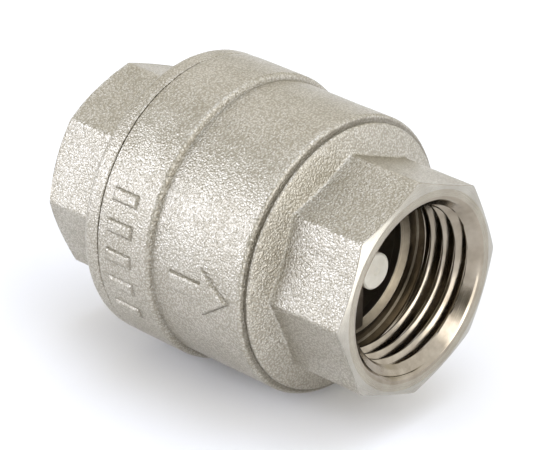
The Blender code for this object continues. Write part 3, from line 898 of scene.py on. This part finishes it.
def retainer_screw(steel):
    """Slotted cheese-head screw with its thread."""
    angles = even_angles(64)
    neck = SCREW_OUTER - 0.05
    sections = [as_pair((SCREW_TIP, 0.0), angles), as_pair((SCREW_TIP, 1.1), angles)]
    for station in np.arange(SCREW_TIP + 0.2, UNDER_HEAD - 0.5, 0.05):
        taper = min(1.0, (station - SCREW_TIP) / 0.6)
        form = thread_form(station, angles, SCREW_PITCH)
        radius = SCREW_MIDDLE + 0.15 * form * taper - 0.2 * (1 - taper)
        sections.append(np.stack([np.full_like(angles, station), np.minimum(radius, SCREW_OUTER)]))
    sections += profile([
        (UNDER_HEAD - 0.4, neck), (UNDER_HEAD, neck, 0.1), (UNDER_HEAD, HEAD_RADIUS, 0.12),
        (HEAD_TOP, HEAD_RADIUS, 0.3), (HEAD_TOP, 0.0),
    ], angles)
    around = len(angles)
    ring_points = to_points(sections[1:-1], angles)
    ends = [(OUTLET_X - SCREW_TIP, 0.0, 0.0), (OUTLET_X - HEAD_TOP, 0.0, 0.0)]
    points = np.vstack([ring_points, ends])
    rings = len(sections) - 2
    faces = [list(f) for f in ring_faces(rings, around, False)]
    start, end = len(points) - 2, len(points) - 1
    base = (rings - 1) * around
    faces += [[start, j, (j + 1) % around] for j in range(around)]
    faces += [[end, base + (j + 1) % around, base + j] for j in range(around)]
    screw = make_piece("retainer_screw_turned", points, faces, [steel])
    cut = bpy.data.meshes.new("screw_slot")
    mesh_data = bmesh.new()
    bmesh.ops.create_cube(mesh_data, size=1.0)
    for vert in mesh_data.verts:
        station = HEAD_TOP + (0.5 if vert.co.x < 0 else -SLOT_DEPTH)
        vert.co = Vector((OUTLET_X - station, vert.co.y * SLOT_WIDTH, vert.co.z * 8.0)) * MM
    mesh_data.to_mesh(cut)
    mesh_data.free()
    tool = bpy.data.objects.new("screw_slot", cut)
    bpy.context.scene.collection.objects.link(tool)
    slot = screw.modifiers.new("slot", "BOOLEAN")
    slot.operation = "DIFFERENCE"
    slot.solver = "EXACT"
    slot.object = tool
    depsgraph = bpy.context.evaluated_depsgraph_get()
    dressed = bpy.data.meshes.new_from_object(screw.evaluated_get(depsgraph))
    screw.modifiers.clear()
    screw.data = dressed
    bpy.data.objects.remove(tool)
    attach(screw, "poppet")
    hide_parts("retainer_screw")


def spring_wire(steel):
    """Compression spring with closed ends, as a swept round wire."""
    low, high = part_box("return_spring")
    start = OUTLET_X - high[0] / MM + SPRING_WIRE
    end = OUTLET_X - low[0] / MM - SPRING_WIRE
    steps, around = int(SPRING_TURNS * 48), 14
    closed = CLOSED_TURNS / SPRING_TURNS
    share = np.linspace(0.0, 1.0, steps + 1)
    free = end - start - 2 * CLOSED_RISE
    rise = CLOSED_RISE + free * (share - closed) / (1 - 2 * closed)
    rise = np.where(share < closed, CLOSED_RISE * share / closed, rise)
    rise = np.where(share > 1 - closed, end - start - CLOSED_RISE * (1 - share) / closed, rise)
    turn = tau * SPRING_TURNS * share
    centre = np.stack([OUTLET_X - start - rise, SPRING_RADIUS * np.sin(turn),
                       SPRING_RADIUS * np.cos(turn)], axis=1)
    forward = np.gradient(centre, axis=0)
    forward /= np.linalg.norm(forward, axis=1, keepdims=True)
    outward = np.stack([np.zeros_like(turn), np.sin(turn), np.cos(turn)], axis=1)
    side = np.cross(forward, outward)
    side /= np.linalg.norm(side, axis=1, keepdims=True)
    spin = np.arange(around) * tau / around
    ring = centre[:, None, :] + SPRING_WIRE * (
        outward[:, None, :] * np.cos(spin)[None, :, None]
        + side[:, None, :] * np.sin(spin)[None, :, None])
    points = ring.reshape(-1, 3)
    faces = [list(f) for f in ring_faces(steps + 1, around, False)]
    faces += [list(range(around)), [steps * around + j for j in reversed(range(around))]]
    spring = make_piece("return_spring_wire", points, faces, [steel])
    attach(spring, "housing")
    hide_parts("return_spring")
    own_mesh(spring)


def joint_o_ring(rubber):
    """Rubber ring between the two halves."""
    angles = even_angles(160)
    centre = (SEAL_POCKET_START + FLANGE_FACE) / 2
    radius = NECK_RADIUS + JOINT_CLEARANCE + O_RING_SECTION
    sections = []
    for turn in np.arange(20) * tau / 20:
        point = (centre + O_RING_SECTION * cos(turn), radius + O_RING_SECTION * sin(turn))
        sections.append(as_pair(point, angles))
    ring = turned_wall("joint_o_ring_moulded", [(0, False, sections)], angles, [rubber])
    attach(ring, "housing")
    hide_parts("joint_o_ring")


# ---------------------------------------------------------------- stage


def view_direction(azimuth, elevation):
    """Unit vector from the object to a viewer."""
    a, e = radians(azimuth), radians(elevation)
    return Vector((sin(a) * cos(e), -cos(a) * cos(e), sin(e)))


def studio_world():
    """Soft light from all round, with softboxes and the dim space around the photographer."""
    world = bpy.data.worlds.new("studio")
    world.use_nodes = True
    tree = world.node_tree
    toward = tree.nodes.new("ShaderNodeTexCoord").outputs["Generated"]
    tone = add(tree, "ShaderNodeRGB").outputs["Color"]
    tone.default_value = ROOM_TONE
    height = add(tree, "ShaderNodeSeparateXYZ", None, Vector=toward).outputs["Z"]
    low = add(tree, "ShaderNodeMapRange", {"interpolation_type": "SMOOTHSTEP"},
              Value=height, i1=WALL_TOP[0], i2=WALL_TOP[1], i3=1.0, i4=0.0).outputs["Result"]
    wall = add(tree, "ShaderNodeMix", {"data_type": "RGBA"}, i0=low, i6=tone, i7=WALL_TONE)
    tone = wall.outputs[2]
    for direction, inner, outer, color in SOFT_PATCHES:
        aim = Vector(direction).normalized()
        facing = add(tree, "ShaderNodeVectorMath", {"operation": "DOT_PRODUCT"}, i0=toward, i1=aim)
        share = add(tree, "ShaderNodeMapRange", {"interpolation_type": "SMOOTHSTEP"},
                    Value=facing.outputs["Value"], i1=cos(radians(outer)), i2=cos(radians(inner)),
                    i3=0.0, i4=1.0).outputs["Result"]
        mix = add(tree, "ShaderNodeMix", {"data_type": "RGBA"}, i0=share, i6=tone, i7=(*color, 1.0))
        tone = mix.outputs[2]
    tree.links.new(tone, tree.nodes["Background"].inputs["Color"])
    return world


def stage():
    """Floor, world, reflecting card and camera."""
    scene = bpy.context.scene
    scene.view_settings.view_transform = "Standard"
    scene.world = studio_world()

    floor_z = cad_bounds[0][2]
    mesh = bpy.data.meshes.new("floor")
    reach = 4.0
    mesh.from_pydata([(-reach, -reach, floor_z), (reach, -reach, floor_z),
                      (reach, reach, floor_z), (-reach, reach, floor_z)], [], [(0, 1, 2, 3)])
    floor = bpy.data.objects.new("floor", mesh)
    scene.collection.objects.link(floor)
    paper, tree, shader = shader_tree("floor_paper")
    place = tree.nodes.new("ShaderNodeTexCoord").outputs["Object"]
    mottle = noise_value(tree, place, 9.0, 2.0)
    tone = color_between(tree, mottle, (0.88, 0.88, 0.895), (0.90, 0.90, 0.915))
    connect(tree, tone, shader, "Base Color")
    shader.inputs["Roughness"].default_value = 0.9
    shader.inputs["Specular IOR Level"].default_value = 0.1
    mesh.materials.append(paper)

    card = bpy.data.lights.new("low_card", "AREA")
    card.size = CARD_SIZE
    card.energy = CARD_RADIANCE * pi * card.size ** 2
    low = bpy.data.objects.new("low_card", card)
    scene.collection.objects.link(low)
    low.location = CARD_AT
    low.rotation_euler = Vector(CARD_FROM).to_track_quat("Z", "Y").to_euler()
    low.visible_camera = False

    camera = bpy.data.cameras.new("camera")
    camera.lens = CAMERA_LENS
    camera.sensor_width = 36.0
    camera.clip_start = 0.01
    seat = bpy.data.objects.new("camera", camera)
    scene.collection.objects.link(seat)
    seat.location = CAMERA_AT
    aim = view_direction(CAMERA_AZIMUTH, CAMERA_ELEVATION)
    seat.rotation_euler = aim.to_track_quat("Z", "Y").to_euler()
    scene.camera = seat


def build():
    """Every piece of the valve, then the stage."""
    cast = blasted_nickel()
    face = turned_nickel("turned_nickel_face", (0.325, 0.293, 0.236), (0.41, 0.375, 0.305),
                         0.20, 0.32, 0.5)
    # The bore, inside and lip materials are darker copies of the face material: painted shade for the
    # hollows, partly also thinner plating there.
    bore = turned_nickel("turned_nickel_bore_painted_shade", (0.25, 0.213, 0.163), (0.38, 0.335, 0.27), 0.08, 0.18)
    inner = turned_nickel("dull_nickel_inside_painted_shade", (0.24, 0.205, 0.16), (0.34, 0.295, 0.235), 0.30, 0.45)
    lip = turned_nickel("dull_nickel_lip_painted_shade", (0.10, 0.082, 0.058), (0.20, 0.17, 0.125), 0.25, 0.45)
    plastic = white_acetal()
    rubber = black_rubber()
    steel = stainless()
    # A lighter copy of the face material for the chamfer: painted highlight, so that the chamfer shows
    # bright.
    chamfer = turned_nickel("turned_nickel_chamfer_painted_highlight", (0.37, 0.345, 0.295), (0.45, 0.425, 0.37),
                            0.20, 0.30)
    metals = [cast, face, bore, inner, lip, chamfer]
    outlet_shell(metals)
    inlet_shell(metals)
    guide_bridge(inner)
    raised_marks(cast)
    joint_o_ring(rubber)
    poppet_moulding(plastic)
    seal_moulding(rubber)
    retainer_washer(steel)
    retainer_screw(steel)
    spring_wire(steel)
    stage()


build()
